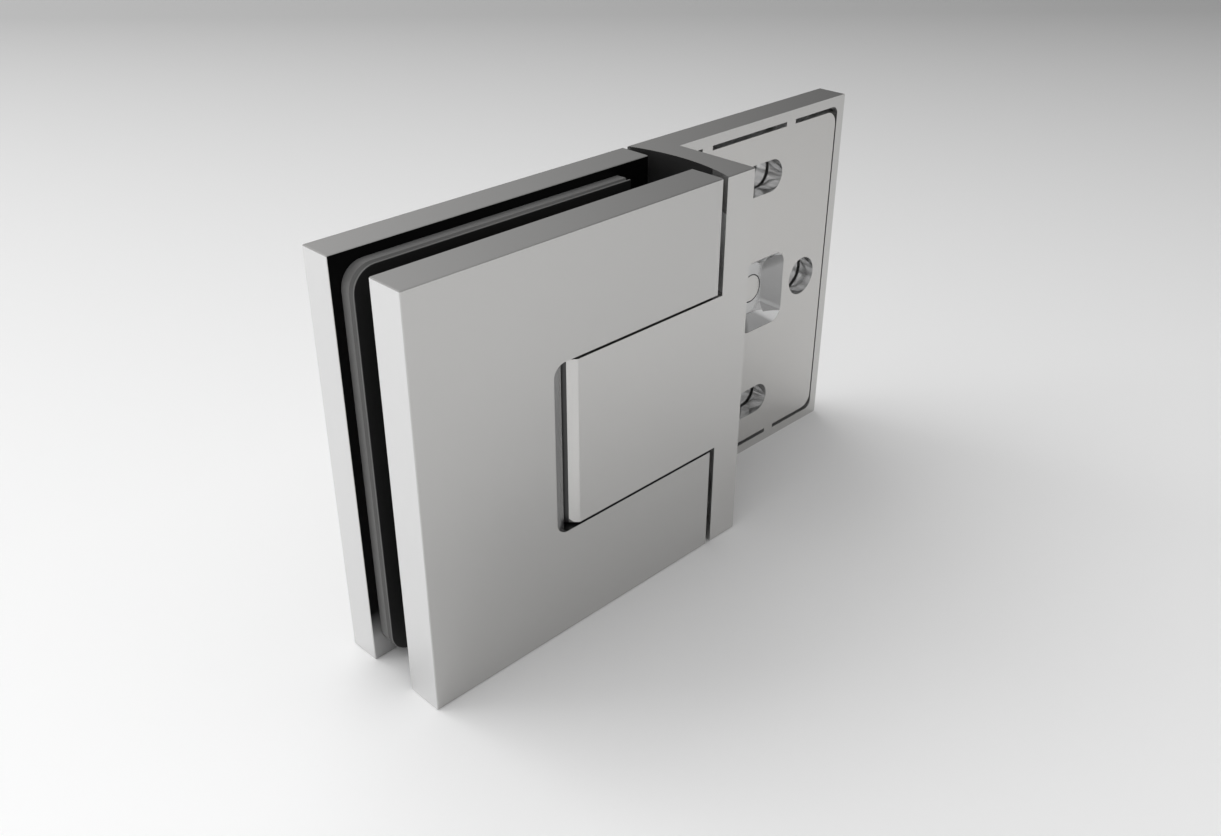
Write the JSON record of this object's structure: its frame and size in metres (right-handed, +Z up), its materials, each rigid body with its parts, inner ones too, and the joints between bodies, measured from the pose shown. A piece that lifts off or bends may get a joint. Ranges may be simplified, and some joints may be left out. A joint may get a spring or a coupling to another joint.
{
  "type": "glass door hinge",
  "caption": "Wall-mounted glass door hinge: square plate clamp with gaskets, notched round a pivot tongue, on a wall leaf with a pocketed fixing plate.",
  "frame": {"origin": "middle of the bottom edge of the whole hinge, standing upright with the door shut; the pivot axis is 25.2 mm towards the glass from it", "axes": "+X from the glass clamp to the wall plate, +Y from the front face to the rear face, +Z up along the pivot"},
  "size_m": [0.1504, 0.0286, 0.09],
  "materials": {
    "satin_nickel": "satin nickel plating on cast and milled brass",
    "satin_nickel_plate": "satin nickel plating, a little duller",
    "stainless_screws": "stainless steel",
    "gasket_rubber": "soft grey-black pad",
    "sleeve_plastic": "translucent grey plastic",
    "turned_brass": "milled brass",
    "pin_steel": "ground steel",
    "bush_bronze": "sintered bronze",
    "washer_plastic": "white bearing plastic",
    "spring_steel": "blued spring steel"
  },
  "bodies": {
    "wall_side": {"wall_leaf": "satin_nickel", "fixing_plate": "satin_nickel_plate", "plate_clamp_screw": "satin_nickel_plate", "leaf_grub_screws": "stainless_screws", "upper_bush": "bush_bronze", "lower_bush": "bush_bronze", "upper_thrust_washer": "washer_plastic", "lower_thrust_washer": "washer_plastic", "detent_spring": "spring_steel", "spring_plug": "stainless_screws"},
    "glass_clamp": {"front_clamp_plate": "satin_nickel", "rear_clamp_plate": "satin_nickel", "front_gasket": "gasket_rubber", "rear_gasket": "gasket_rubber", "clamp_screws": "stainless_screws", "screw_sleeves": "sleeve_plastic", "upper_pin_block": "turned_brass", "lower_pin_block": "turned_brass", "block_screws": "stainless_screws", "pivot_pin": "pin_steel", "pin_grub_screws": "stainless_screws"}
  },
  "joints": [
    {"name": "door_swing", "type": "hinge", "parent": "wall_side", "child": "glass_clamp", "pos_m": [-0.0252, 0, 0.045], "axis": [0, 0, 1], "range_deg": [-90, 90], "deforming": ["detent_spring"]}
  ]
}
